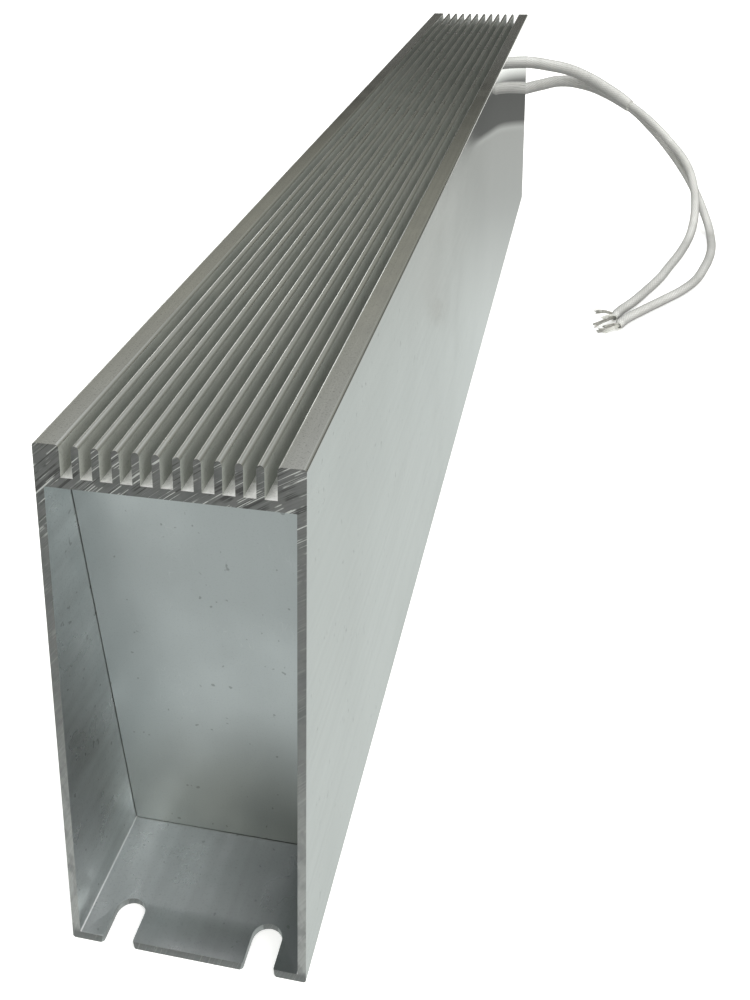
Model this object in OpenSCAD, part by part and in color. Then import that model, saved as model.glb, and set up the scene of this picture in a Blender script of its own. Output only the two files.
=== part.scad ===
// Aluminium housed power resistor: a slant-ended extruded case with cooling
// grooves along its top, two wire-wound ceramic elements sealed inside it,
// slots in the base at both ends and two flying leads from the rear plate.
// Millimetres. The length runs along Y, +Z is up, the base rests on Z = 0 and
// the origin is the middle of the base.

/* [Housing] */
// Width across the two side walls
body_w = 50; // [48:1:56]
// Height from the base to the tops of the fins
body_h = 107; // [105:1:120]
// Length of the base, the longest line of the case
base_l = 485; // [400:5:600]
// How far each end of the base stands out past the end of the top
end_slant = 22.5; // [16:0.5:30]
// Thickness of the side walls and of the base
wall_t = 1.7; // [1.4:0.1:2.2]
// Metal left between the cavity and the floors of the grooves
web_t = 2; // [1.5:0.1:3]
// Radius along the four long outer edges
edge_r = 0.6; // [0.3:0.1:1]

/* [Cooling grooves] */
// Number of grooves along the top
groove_count = 11; // [9:1:12]
// Depth of a groove
groove_depth = 6; // [4:0.5:7]
// Thickness of a fin, which has a fully round top
fin_w = 1.45; // [1.2:0.05:1.7]
// Width of the flat shoulder outside the first and last groove
shoulder_w = 5.1; // [4:0.1:6]
// Radius of the shoulder's lip at the first and last groove
lip_r = 0.7; // [0.4:0.1:1]

/* [Mounting slots] */
// Width of an open slot in the base, for an M6 screw
slot_w = 6.4; // [5:0.1:7]
// Depth of a slot from the end of the base
slot_depth = 9.6; // [8:0.1:12]
// Distance between the two slots of one end
slot_pitch = 30; // [26:1:32]
// Radius of the corners at a slot's mouth
mouth_r = 0.8; // [0.4:0.1:1.2]

/* [End plates] */
// Thickness of an end plate
plate_t = 2; // [1.5:0.1:3]
// How far an end plate sits inside the end of the top
plate_recess = 6.5; // [5:0.5:8]
// Gap left all round an end plate
plate_gap = 0.2; // [0.1:0.05:0.3]

/* [Heating elements] */
// Outer diameter of a ceramic core
core_d = 26; // [22:1:28]
// Bore through a ceramic core
core_bore = 14; // [10:1:16]
// Height between the two cores' axes
core_pitch = 44; // [40:1:48]
// Diameter of the resistance wire
wire_d = 1.2; // [0.8:0.1:1.6]
// Distance from turn to turn
turn_pitch = 7; // [4:1:10]
// Width of a terminal band round a core
band_w = 8; // [6:1:10]
// Thickness of a terminal band, and of the strips between them
strip_t = 0.8; // [0.6:0.1:1]
// Width of the strips
strip_w = 6; // [5:1:8]

/* [Insulation] */
// Thickness of a mica sheet
mica_t = 0.5; // [0.3:0.1:0.8]
// Thickness of a core support
support_t = 2; // [1.5:0.5:3]
// Thickness of the sealing compound between a support and its end plate
potting_t = 13.5; // [12:0.5:20]
// Length of bare core outside a support
core_stub = 2; // [1:0.5:3]
// Slack round the pieces that are buried in the filling
bury_gap = 0.2; // [0.1:0.1:0.3]

/* [Leads] */
// Outer diameter of a sleeved lead
lead_d = 4.4; // [4:0.1:4.8]
// Depth of the upper lead's exit below the tops of the fins
upper_exit_drop = 28; // [24:0.5:30]
// Height between the two exits
exit_pitch = 20; // [16:0.5:24]
// Diameter of the bushing in the rear plate
bush_d = 8; // [7.5:0.5:9]
// Diameter of the bushing's collar
collar_d = 11; // [10:0.5:12]
// Thickness of the bushing's collar
collar_t = 1.5; // [1:0.5:2]
// Length of the bushing's nose behind the collar
nose_l = 4; // [3:0.5:5]
// Slack between a lead and the outer sleeve over its root
root_sleeve_slack = 0.3; // [0.2:0.1:0.4]
// Wall of an outer sleeve
root_sleeve_t = 0.6; // [0.4:0.1:0.8]
// Diameter of the stripped conductor
bare_d = 2.6; // [2.2:0.1:3]

/* [Hidden] */

// Over-run of a cutting shape past the face that it cuts
over = 1;
// Facets of a large circle and of a small one
fine = 64;
small = 32;

top_l = base_l - 2 * end_slant;
cavity_w = body_w - 2 * wall_t;
groove_floor_z = body_h - groove_depth;
roof_z = groove_floor_z - web_t;
cavity_h = roof_z - wall_t;
cavity_mid_z = (roof_z + wall_t) / 2;

grooved_w = body_w - 2 * shoulder_w;
groove_w = (grooved_w - (groove_count - 1) * fin_w) / groove_count;
groove_pitch = groove_w + fin_w;

// Outer and inner face of an end plate, from the middle of the case
plate_out_y = top_l / 2 - plate_recess;
plate_in_y = plate_out_y - plate_t;

// Clear section inside the mica sheets
lined_w = cavity_w - 2 * mica_t;

core_r = core_d / 2;
support_out_y = plate_in_y - potting_t;
support_in_y = support_out_y - support_t;
core_end_y = support_out_y + core_stub;
core_l = 2 * core_end_y;
upper_core_z = cavity_mid_z + core_pitch / 2;
lower_core_z = cavity_mid_z - core_pitch / 2;

// A band stands clear of the support, and the winding ends at the band
band_clearance = 2;
band_out_y = support_in_y - band_clearance;
band_in_y = band_out_y - band_w;
band_r = core_r + strip_t;
winding_half_l = band_in_y;
wire_r = wire_d / 2;
// Slack between a core and its winding, and the coat that binds the turns
winding_gap = 0.05;
coat_t = 0.3;
winding_r = core_r + winding_gap + wire_d;
turn_count = floor((2 * winding_half_l - wire_d) / turn_pitch);
wire_sides = 8;

// A lug reaches past the core, then turns towards its lead
lug_clearance = 2;
lug_bend_y = core_end_y + lug_clearance;
crimp_d = 4;
crimp_bore = 2.4;

upper_exit_z = body_h - upper_exit_drop;
lower_exit_z = upper_exit_z - exit_pitch;
// The sleeve of a lead starts this far inside the rear plate's outer face
lead_start_back = -5;

lead_r = lead_d / 2;
lead_sides = 10;
// The points of a route between which its outer sleeve lies: from just behind
// the bushing to where the two leads come together
root_sleeve_from = 2;
root_sleeve_to = 11;
root_sleeve_in_r = lead_r + root_sleeve_slack;
root_sleeve_out_r = root_sleeve_in_r + root_sleeve_t;
bare_r = bare_d / 2;
bare_sides = 8;
// The stripped strands sink towards the table
bare_sink = 0.4;

// Routes of the two leads: across, back from the rear plate's outer face, up.
// They leave the plate, swing round to the right and come forward on the table.
// Their first height is that of the exit.
upper_route = [
    [0, lead_start_back, 79],
    [0, 1, 79],
    [0, 7, 79],
    [3, 15, 79],
    [9, 22, 79],
    [17, 27, 78.5],
    [26, 31, 77.5],
    [36, 34.5, 75.5],
    [46, 37.5, 73],
    [57, 39.5, 68.5],
    [69, 40, 62],
    [82, 37, 54.5],
    [95, 30, 46.5],
    [106, 21, 38],
    [115, 11, 29.5],
    [119.5, -1, 20.5],
    [120.5, -14, 12],
    [119, -27, 5.5],
    [115.5, -41, lead_r],
    [111.5, -56, lead_r],
    [106.5, -72, lead_r],
    [101.5, -88, lead_r],
    [95.5, -103, lead_r],
    [89, -118, lead_r],
    [82, -132, lead_r]
];
lower_route = [
    [0, lead_start_back, 59],
    [0, 1, 59],
    [0, 7, 59],
    [2.5, 15, 59],
    [7.5, 23, 59.5],
    [14.5, 29.5, 60.5],
    [23, 35, 62],
    [32, 39.5, 63.5],
    [42, 43, 65],
    [55, 45, 63.5],
    [69, 46, 58.5],
    [82, 44, 51.5],
    [95, 35, 42.5],
    [106, 25, 33],
    [115, 13, 24],
    [122, 2, 15],
    [126, -8, 8.5],
    [128.5, -18, 4],
    [129, -29, lead_r],
    [128.5, -42, lead_r],
    [126.5, -57, lead_r],
    [123, -72, lead_r],
    [118.5, -87, lead_r],
    [111.5, -101, lead_r],
    [102.5, -114, lead_r],
    [93, -127, lead_r],
    [84, -141, lead_r]
];
upper_bare_route = [
    [82, -132, lead_r],
    [78.5, -139, lead_r],
    [76, -143, lead_r - bare_sink]
];
lower_bare_route = [
    [84, -141, lead_r],
    [79.5, -148, lead_r],
    [77, -152, lead_r - bare_sink]
];

// Half the length of the case at a height
function half_l(z) = base_l / 2 - end_slant * z / body_h;
function fin_x(i) = -grooved_w / 2 + i * groove_pitch - fin_w / 2;

// A route with its heights above the table stretched to start at its exit
function hung(route, exit_z) =
    let (stretch = (exit_z - lead_r) / (route[0][2] - lead_r))
    [for (p = route) [p[0], p[1], lead_r + (p[2] - lead_r) * stretch]];

// Unit direction of a route at one of its points
function unit(v) = v / norm(v);
function heading(route, i) =
    unit(route[min(i + 1, len(route) - 1)] - route[max(i - 1, 0)]);
// Points of one ring of a tube, square to its heading, one of them straight down
function ring(centre, dir, r, sides) =
    let (side = unit(cross(dir, [0, 0, 1])), up = cross(side, dir))
    [for (k = [0 : sides - 1])
        centre + r * (side * sin(360 * k / sides) - up * cos(360 * k / sides))];

// A tube along a route, closed at both ends
module tube(route, r, sides) {
    rings = len(route);
    points = [for (i = [0 : rings - 1])
        each ring(route[i], heading(route, i), r, sides)];
    walls = [for (i = [0 : rings - 2], k = [0 : sides - 1])
        let (a = i * sides + k, b = i * sides + (k + 1) % sides)
        each [[a, b, b + sides], [a, b + sides, a + sides]]];
    near_cap = [[for (k = [0 : sides - 1]) sides - 1 - k]];
    far_cap = [[for (k = [0 : sides - 1]) (rings - 1) * sides + k]];
    translate([0, plate_out_y, 0])
        polyhedron(points, concat(walls, near_cap, far_cap));
}

// A hollow sleeve round a route, from one of its points to another
module sleeve(route, from, to, in_r, out_r, sides) {
    last = to - from;
    inner = (last + 1) * sides;
    function at(i, k) = i * sides + k % sides;
    points = [for (r = [out_r, in_r], i = [from : to])
        each ring(route[i], heading(route, i), r, sides)];
    outside = [for (i = [0 : last - 1], k = [0 : sides - 1])
        let (a = at(i, k), b = at(i, k + 1))
        each [[a, b, b + sides], [a, b + sides, a + sides]]];
    inside = [for (f = outside) [f[2] + inner, f[1] + inner, f[0] + inner]];
    near_rim = [for (k = [0 : sides - 1])
        let (a = at(0, k), b = at(0, k + 1))
        each [[b, a, a + inner], [b, a + inner, b + inner]]];
    far_rim = [for (k = [0 : sides - 1])
        let (a = at(last, k), b = at(last, k + 1))
        each [[a, b, b + inner], [a, b + inner, a + inner]]];
    translate([0, plate_out_y, 0])
        polyhedron(points, concat(outside, inside, near_rim, far_rim));
}

// Extrudes a section drawn in X and Z along Y, centred on the case
module along(length) {
    rotate([90, 0, 0])
        linear_extrude(height = length, center = true)
            children();
}

// A cylinder along +Y that starts at a place
module rod_y(start, length, d) {
    translate(start)
        rotate([-90, 0, 0])
            cylinder(h = length, d = d, $fn = fine);
}

module box(low, high) {
    translate(low)
        cube(high - low);
}

// The case: section

module outline() {
    translate([-body_w / 2 + edge_r, 0])
        square([body_w - 2 * edge_r, body_h]);
    translate([-body_w / 2, edge_r])
        square([body_w, body_h - 2 * edge_r]);
    for (x = [-1, 1], z = [edge_r, body_h - edge_r])
        translate([x * (body_w / 2 - edge_r), z])
            circle(r = edge_r, $fn = small);
}

// What is cut from the top: the grooved strip, with its two lips
module grooved_strip() {
    translate([-grooved_w / 2, groove_floor_z])
        square([grooved_w, groove_depth + over]);
    for (x = [-1, 1])
        difference() {
            translate([x * grooved_w / 2 - lip_r, body_h - lip_r])
                square([2 * lip_r, lip_r + over]);
            translate([x * (grooved_w / 2 + lip_r), body_h - lip_r])
                circle(r = lip_r, $fn = small);
        }
}

module fin() {
    fin_r = fin_w / 2;
    translate([-fin_r, groove_floor_z - web_t / 2])
        square([fin_w, groove_depth + web_t / 2 - fin_r]);
    translate([0, body_h - fin_r])
        circle(r = fin_r, $fn = small);
}

module case_section() {
    difference() {
        outline();
        translate([-cavity_w / 2, wall_t])
            square([cavity_w, cavity_h]);
        grooved_strip();
    }
    for (i = [1 : groove_count - 1])
        translate([fin_x(i), 0])
            fin();
}

// One open slot, drawn from its mouth towards -Y
module slot() {
    slot_r = slot_w / 2;
    translate([0, slot_r - slot_depth])
        circle(r = slot_r, $fn = fine);
    translate([-slot_r, slot_r - slot_depth])
        square([slot_w, slot_depth - slot_r + over]);
    for (x = [-1, 1])
        difference() {
            translate([x * slot_r - mouth_r, -mouth_r])
                square([2 * mouth_r, mouth_r + over]);
            translate([x * (slot_r + mouth_r), -mouth_r])
                circle(r = mouth_r, $fn = small);
        }
}

module housing() {
    color([0.66, 0.68, 0.67])
        difference() {
            intersection() {
                along(base_l + 2 * over)
                    case_section();
                rotate([90, 0, 90])
                    linear_extrude(height = body_w + 2 * over, center = true)
                        polygon([
                            [-half_l(-over), -over],
                            [half_l(-over), -over],
                            [half_l(body_h + over), body_h + over],
                            [-half_l(body_h + over), body_h + over]
                        ]);
            }
            for (turn = [0, 180], x = [-1, 1])
                rotate([0, 0, turn])
                    translate([x * slot_pitch / 2, base_l / 2, -over])
                        linear_extrude(height = wall_t + 2 * over)
                            slot();
        }
}

// End plates

module plate_blank() {
    translate([-cavity_w / 2 + plate_gap, plate_in_y, wall_t + plate_gap])
        cube([cavity_w - 2 * plate_gap, plate_t, cavity_h - 2 * plate_gap]);
}

module end_plate_front() {
    color([0.62, 0.66, 0.67])
        mirror([0, 1, 0])
            plate_blank();
}

module end_plate_rear() {
    color([0.62, 0.66, 0.67])
        difference() {
            plate_blank();
            for (z = [upper_exit_z, lower_exit_z])
                rod_y([0, plate_in_y - over, z], plate_t + 2 * over, bush_d + 2 * bury_gap);
        }
}

// Mica sheets against the four walls of the cavity

module mica_sheet(low_x, high_x, low_z, high_z) {
    color([0.72, 0.66, 0.5])
        box([low_x, -plate_in_y, low_z], [high_x, plate_in_y, high_z]);
}

module mica_base() {
    mica_sheet(-cavity_w / 2, cavity_w / 2, wall_t, wall_t + mica_t);
}

module mica_top() {
    mica_sheet(-cavity_w / 2, cavity_w / 2, roof_z - mica_t, roof_z);
}

module mica_left() {
    mica_sheet(-cavity_w / 2, -lined_w / 2, wall_t + mica_t, roof_z - mica_t);
}

module mica_right() {
    mica_sheet(lined_w / 2, cavity_w / 2, wall_t + mica_t, roof_z - mica_t);
}

// Heating elements

module core(z) {
    color([0.9, 0.88, 0.82])
        difference() {
            rod_y([0, -core_end_y, z], core_l, core_d);
            rod_y([0, -core_end_y - over, z], core_l + 2 * over, core_bore);
        }
}

module core_upper() {
    core(upper_core_z);
}

module core_lower() {
    core(lower_core_z);
}

// The turns of wire as rings that stand on their thin binding coat
module winding(z) {
    inner_r = core_r + winding_gap;
    color([0.45, 0.42, 0.4])
        translate([0, 0, z])
            rotate([90, 0, 0])
                rotate_extrude($fn = fine) {
                    translate([inner_r, -winding_half_l])
                        square([coat_t, 2 * winding_half_l]);
                    for (i = [0 : turn_count])
                        translate([
                            inner_r + wire_r,
                            (i - turn_count / 2) * turn_pitch
                        ])
                            circle(r = wire_r, $fn = wire_sides);
                }
}

module winding_upper() {
    winding(upper_core_z);
}

module winding_lower() {
    winding(lower_core_z);
}

// A terminal band that grips the core beside the winding
module band(z) {
    color([0.75, 0.74, 0.7])
        difference() {
            rod_y([0, band_in_y, z], band_w, 2 * band_r);
            rod_y([0, band_in_y - over, z], band_w + 2 * over, core_d);
        }
}

module band_upper_front() {
    mirror([0, 1, 0])
        band(upper_core_z);
}

module band_upper_rear() {
    band(upper_core_z);
}

module band_lower_front() {
    mirror([0, 1, 0])
        band(lower_core_z);
}

module band_lower_rear() {
    band(lower_core_z);
}

// The strip that joins the two elements in series at the front
module series_link() {
    color([0.75, 0.74, 0.7])
        difference() {
            box(
                [-strip_w / 2, -band_out_y, lower_core_z],
                [strip_w / 2, -band_in_y, upper_core_z]
            );
            box(
                [-strip_w, -band_out_y - over, lower_core_z - over],
                [strip_w, -band_out_y + (band_w - strip_t) / 2, upper_core_z + over]
            );
            box(
                [-strip_w, -band_in_y - (band_w - strip_t) / 2, lower_core_z - over],
                [strip_w, -band_in_y + over, upper_core_z + over]
            );
            for (z = [lower_core_z, upper_core_z])
                rod_y([0, -band_out_y - over, z], band_w + 2 * over, 2 * band_r);
        }
}

// A strip from the top of a rear band, past the core, to the height of its lead
module lug(band_z, lead_z) {
    run_z = band_z + band_r;
    low_z = min(run_z, lead_z - crimp_d / 2);
    high_z = max(run_z + strip_t, lead_z + crimp_d / 2);
    color([0.75, 0.74, 0.7]) {
        box(
            [-strip_w / 2, band_in_y, run_z],
            [strip_w / 2, lug_bend_y + strip_t, run_z + strip_t]
        );
        box(
            [-strip_w / 2, lug_bend_y, low_z],
            [strip_w / 2, lug_bend_y + strip_t, high_z]
        );
    }
}

module lug_upper() {
    lug(upper_core_z, upper_exit_z);
}

module lug_lower() {
    lug(lower_core_z, lower_exit_z);
}

// A crimped sleeve between a lug and the conductor of its lead
module crimp(z) {
    crimp_y = lug_bend_y + strip_t;
    crimp_l = plate_out_y + lead_start_back - crimp_y;
    color([0.8, 0.8, 0.8])
        difference() {
            rod_y([0, crimp_y, z], crimp_l, crimp_d);
            rod_y([0, crimp_y + strip_t, z], crimp_l, crimp_bore);
        }
}

module crimp_upper() {
    crimp(upper_exit_z);
}

module crimp_lower() {
    crimp(lower_exit_z);
}

// Insulation round the elements

// A block that fills the lined section between two planes
module lined_block(low_y, high_y) {
    box(
        [-lined_w / 2, low_y, wall_t + mica_t],
        [lined_w / 2, high_y, roof_z - mica_t]
    );
}

// Room for a rear lug where it passes through or lies in the filling
module lug_room(band_z, lead_z) {
    run_z = band_z + band_r;
    low_z = min(run_z, lead_z - crimp_d / 2) - bury_gap;
    high_z = max(run_z + strip_t, lead_z + crimp_d / 2) + bury_gap;
    box(
        [-strip_w / 2 - bury_gap, band_in_y - bury_gap, run_z - bury_gap - strip_t],
        [strip_w / 2 + bury_gap, lug_bend_y + strip_t + bury_gap, run_z + strip_t + bury_gap]
    );
    box(
        [-strip_w / 2 - bury_gap, lug_bend_y - bury_gap, low_z],
        [strip_w / 2 + bury_gap, lug_bend_y + strip_t + bury_gap, high_z]
    );
}

module core_support() {
    difference() {
        lined_block(support_in_y, support_out_y);
        for (z = [lower_core_z, upper_core_z])
            rod_y([0, support_in_y - over, z], support_t + 2 * over, core_d + bury_gap);
    }
}

module core_support_front() {
    color([0.72, 0.66, 0.5])
        mirror([0, 1, 0])
            core_support();
}

module core_support_rear() {
    color([0.72, 0.66, 0.5])
        difference() {
            core_support();
            lug_room(upper_core_z, upper_exit_z);
            lug_room(lower_core_z, lower_exit_z);
        }
}

module sand_fill() {
    hollow_d = 2 * (winding_r + bury_gap);
    color([0.85, 0.82, 0.74])
        difference() {
            lined_block(-support_in_y, support_in_y);
            for (z = [lower_core_z, upper_core_z])
                rod_y([0, -support_in_y - over, z], 2 * (support_in_y + over), hollow_d);
            box(
                [
                    -strip_w / 2 - bury_gap,
                    -band_out_y + (band_w - strip_t) / 2 - bury_gap,
                    lower_core_z
                ],
                [
                    strip_w / 2 + bury_gap,
                    -band_in_y - (band_w - strip_t) / 2 + bury_gap,
                    upper_core_z
                ]
            );
            lug_room(upper_core_z, upper_exit_z);
            lug_room(lower_core_z, lower_exit_z);
        }
}

// The sealing compound between a support and its end plate
module potting() {
    difference() {
        lined_block(support_out_y, plate_in_y);
        for (z = [lower_core_z, upper_core_z])
            rod_y(
                [0, support_out_y - over, z],
                core_end_y + bury_gap - support_out_y + over,
                core_d + 2 * bury_gap
            );
    }
}

module potting_front() {
    color([0.93, 0.93, 0.9])
        mirror([0, 1, 0])
            potting();
}

module potting_rear() {
    color([0.93, 0.93, 0.9])
        difference() {
            potting();
            lug_room(upper_core_z, upper_exit_z);
            lug_room(lower_core_z, lower_exit_z);
            for (z = [lower_exit_z, upper_exit_z])
                rod_y([0, lug_bend_y, z], plate_out_y - lug_bend_y, lead_d + 2 * bury_gap);
        }
}

// Leads

// A bushing that fills its hole in the rear plate and stands out behind it
module bushing(z) {
    color([0.9, 0.9, 0.87])
        difference() {
            union() {
                rod_y([0, plate_in_y, z], plate_t + over, bush_d);
                rod_y([0, plate_out_y, z], collar_t, collar_d);
                rod_y([0, plate_out_y, z], collar_t + nose_l, bush_d);
            }
            rod_y(
                [0, plate_in_y - over, z],
                plate_t + collar_t + nose_l + 2 * over,
                lead_d + 2 * bury_gap
            );
        }
}

module bushing_upper() {
    bushing(upper_exit_z);
}

module bushing_lower() {
    bushing(lower_exit_z);
}

module lead_upper() {
    color([0.93, 0.92, 0.87])
        tube(hung(upper_route, upper_exit_z), lead_r, lead_sides);
}

module lead_lower() {
    color([0.93, 0.92, 0.87])
        tube(hung(lower_route, lower_exit_z), lead_r, lead_sides);
}

// A wider glass-fibre sleeve, slipped over the root of a lead
module root_sleeve(route) {
    color([0.9, 0.9, 0.87])
        sleeve(
            route, root_sleeve_from, root_sleeve_to,
            root_sleeve_in_r, root_sleeve_out_r, lead_sides
        );
}

module root_sleeve_upper() {
    root_sleeve(hung(upper_route, upper_exit_z));
}

module root_sleeve_lower() {
    root_sleeve(hung(lower_route, lower_exit_z));
}

// The stripped strands, as one plain bundle each
module bare_end_upper() {
    color([0.8, 0.78, 0.72])
        tube(upper_bare_route, bare_r, bare_sides);
}

module bare_end_lower() {
    color([0.8, 0.78, 0.72])
        tube(lower_bare_route, bare_r, bare_sides);
}

housing();
end_plate_front();
end_plate_rear();
mica_base();
mica_top();
mica_left();
mica_right();
core_support_front();
core_support_rear();
core_upper();
core_lower();
winding_upper();
winding_lower();
band_upper_front();
band_upper_rear();
band_lower_front();
band_lower_rear();
series_link();
lug_upper();
lug_lower();
crimp_upper();
crimp_lower();
sand_fill();
potting_front();
potting_rear();
bushing_upper();
bushing_lower();
lead_upper();
lead_lower();
root_sleeve_upper();
root_sleeve_lower();
bare_end_upper();
bare_end_lower();
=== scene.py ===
import math
import random

import bmesh
import bpy
from mathutils import Matrix, Vector


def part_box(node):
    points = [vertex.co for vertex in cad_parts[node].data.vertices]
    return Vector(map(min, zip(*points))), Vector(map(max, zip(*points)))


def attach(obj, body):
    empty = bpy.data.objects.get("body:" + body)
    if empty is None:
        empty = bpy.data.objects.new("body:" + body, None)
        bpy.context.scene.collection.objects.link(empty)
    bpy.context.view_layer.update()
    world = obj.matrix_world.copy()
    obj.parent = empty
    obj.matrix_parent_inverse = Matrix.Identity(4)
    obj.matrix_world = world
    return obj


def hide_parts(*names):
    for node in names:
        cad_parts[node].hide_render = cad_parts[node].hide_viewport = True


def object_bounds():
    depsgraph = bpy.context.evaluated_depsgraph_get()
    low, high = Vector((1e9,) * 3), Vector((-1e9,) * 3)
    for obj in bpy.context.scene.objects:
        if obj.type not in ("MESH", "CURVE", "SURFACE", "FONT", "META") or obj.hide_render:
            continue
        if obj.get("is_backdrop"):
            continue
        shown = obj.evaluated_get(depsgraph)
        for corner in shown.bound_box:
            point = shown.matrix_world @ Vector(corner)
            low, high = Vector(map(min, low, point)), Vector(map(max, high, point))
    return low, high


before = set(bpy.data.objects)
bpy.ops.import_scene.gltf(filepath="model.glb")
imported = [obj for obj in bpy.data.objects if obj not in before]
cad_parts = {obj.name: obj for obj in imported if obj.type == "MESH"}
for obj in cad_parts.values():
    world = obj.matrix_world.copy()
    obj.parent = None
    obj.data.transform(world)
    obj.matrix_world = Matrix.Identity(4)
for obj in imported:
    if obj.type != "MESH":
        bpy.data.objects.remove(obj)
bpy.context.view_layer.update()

# The studio: a wide matt white table under one large soft box, in a room that
# bare aluminium mirrors: pale below, dark at eye level and bright overhead,
# with a white sheet behind the case and a light low in front of it.

eye = Vector((0.0680, -0.3580, 0.2019))
heading, dip, tilt = math.radians(12.72), math.radians(29.59), math.radians(-1.39)
forward = Vector((-math.sin(heading) * math.cos(dip), math.cos(heading) * math.cos(dip), -math.sin(dip)))
level_right = Vector((math.cos(heading), math.sin(heading), 0))
level_up = level_right.cross(forward)
right = level_right * math.cos(tilt) + level_up * math.sin(tilt)
up = level_up * math.cos(tilt) - level_right * math.sin(tilt)

camera = bpy.data.objects.new("camera", bpy.data.cameras.new("camera"))
bpy.context.scene.collection.objects.link(camera)
camera.matrix_world = Matrix.Translation(eye) @ Matrix((right, up, -forward)).transposed().to_4x4()
camera.data.sensor_width = 36
camera.data.lens = 37.37
camera.data.shift_y = -0.1
camera.data.clip_start = 0.01
bpy.context.scene.camera = camera
bpy.context.scene.view_settings.view_transform = "Standard"


def node(tree, kind, sockets=None, **settings):
    """A shader node; a socket that gets another node's output is linked to it."""
    made = tree.nodes.new("ShaderNode" + kind)
    for name, value in settings.items():
        setattr(made, name, value)
    for name, value in (sockets or {}).items():
        if isinstance(value, bpy.types.NodeSocket):
            tree.links.new(value, made.inputs[name])
        else:
            made.inputs[name].default_value = value
    return made


def new_finish(name):
    finish = bpy.data.materials.new(name)
    finish.use_nodes = True
    tree = finish.node_tree
    return finish, tree, tree.nodes["Principled BSDF"]


def reckon(tree, operation, *values):
    made = node(tree, "Math", operation=operation)
    for socket, value in zip(made.inputs, values):
        if isinstance(value, bpy.types.NodeSocket):
            tree.links.new(value, socket)
        else:
            socket.default_value = value
    return made.outputs["Value"]


def plus(tree, first, second):
    return reckon(tree, "ADD", first, second)


def times(tree, first, second):
    return reckon(tree, "MULTIPLY", first, second)


def spread(tree, value, low, high, to_low=0.0, to_high=1.0):
    """A value between two limits, spread over another range and held at its ends."""
    sockets = {"Value": value, "From Min": low, "From Max": high, "To Min": to_low, "To Max": to_high}
    return node(tree, "MapRange", sockets).outputs["Result"]


def band(tree, value, rise, fall):
    """A share that is full between where it rises and where it falls."""
    return times(tree, spread(tree, value, *rise), spread(tree, value, *fall))


# What the room shows at each height, from straight down to straight up
room_tones = [
    (0.00, (0.66, 0.70, 0.68)),
    (0.28, (0.62, 0.66, 0.64)),
    (0.37, (0.54, 0.555, 0.53)),
    (0.42, (0.35, 0.355, 0.34)),
    (0.46, (0.20, 0.20, 0.19)),
    (0.50, (0.09, 0.09, 0.085)),
    (0.58, (0.05, 0.05, 0.045)),
    (0.63, (0.11, 0.11, 0.095)),
    (0.70, (0.22, 0.22, 0.19)),
    (0.80, (0.31, 0.31, 0.27)),
    (0.90, (0.38, 0.39, 0.38)),
    (1.00, (0.60, 0.60, 0.58)),
]
# What is added to the room's strength of 1: high in front, from its left to its right
side_gain = (-0.6, 1.0)
# on what stands straight in front of the open end, a little above the table
front_gain = 2.2
# and behind the case, on the white sheet from low to high, on its shaded hem and on the table
sheet_gain, hem_gain, table_gain = (1.9, 5.5), -0.74, -0.24

room = bpy.data.worlds.new("room")
bpy.context.scene.world = room
room.use_nodes = True
sky = room.node_tree
direction = node(sky, "TexCoord").outputs["Generated"]
look_x, look_y, look_z = node(sky, "SeparateXYZ", {"Vector": direction}).outputs
steps = node(sky, "ValToRGB", {"Fac": spread(sky, look_z, -1.0, 1.0)})
for place, tone in room_tones:
    stop = steps.color_ramp.elements.new(place)
    stop.color = (*tone, 1)
steps.color_ramp.elements.remove(steps.color_ramp.elements[0])
steps.color_ramp.elements.remove(steps.color_ramp.elements[-1])
high_in_front = times(sky, spread(sky, look_y, -0.2, -0.6), spread(sky, look_z, 0.1, 0.5))
sides = times(sky, spread(sky, look_x, -0.3, 0.4, *side_gain), high_in_front)
low_in_front = times(
    sky, band(sky, look_z, (0.2, 0.4), (0.72, 0.6)), spread(sky, look_y, -0.4, -0.7, 0.0, front_gain),
)
sheet = times(
    sky, band(sky, look_z, (-0.215, -0.20), (0.05, -0.02)), spread(sky, look_z, -0.2, 0.0, *sheet_gain),
)
hem = times(sky, band(sky, look_z, (-0.256, -0.250), (-0.205, -0.22)), hem_gain)
table = times(sky, band(sky, look_z, (-0.45, -0.33), (-0.25, -0.26)), table_gain)
behind = times(sky, spread(sky, look_y, 0.90, 0.95), plus(sky, plus(sky, sheet, hem), table))
gain = plus(sky, plus(sky, sides, behind), low_in_front)
sky.links.new(steps.outputs["Color"], sky.nodes["Background"].inputs["Color"])
sky.links.new(plus(sky, gain, 1.0), sky.nodes["Background"].inputs["Strength"])

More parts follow.
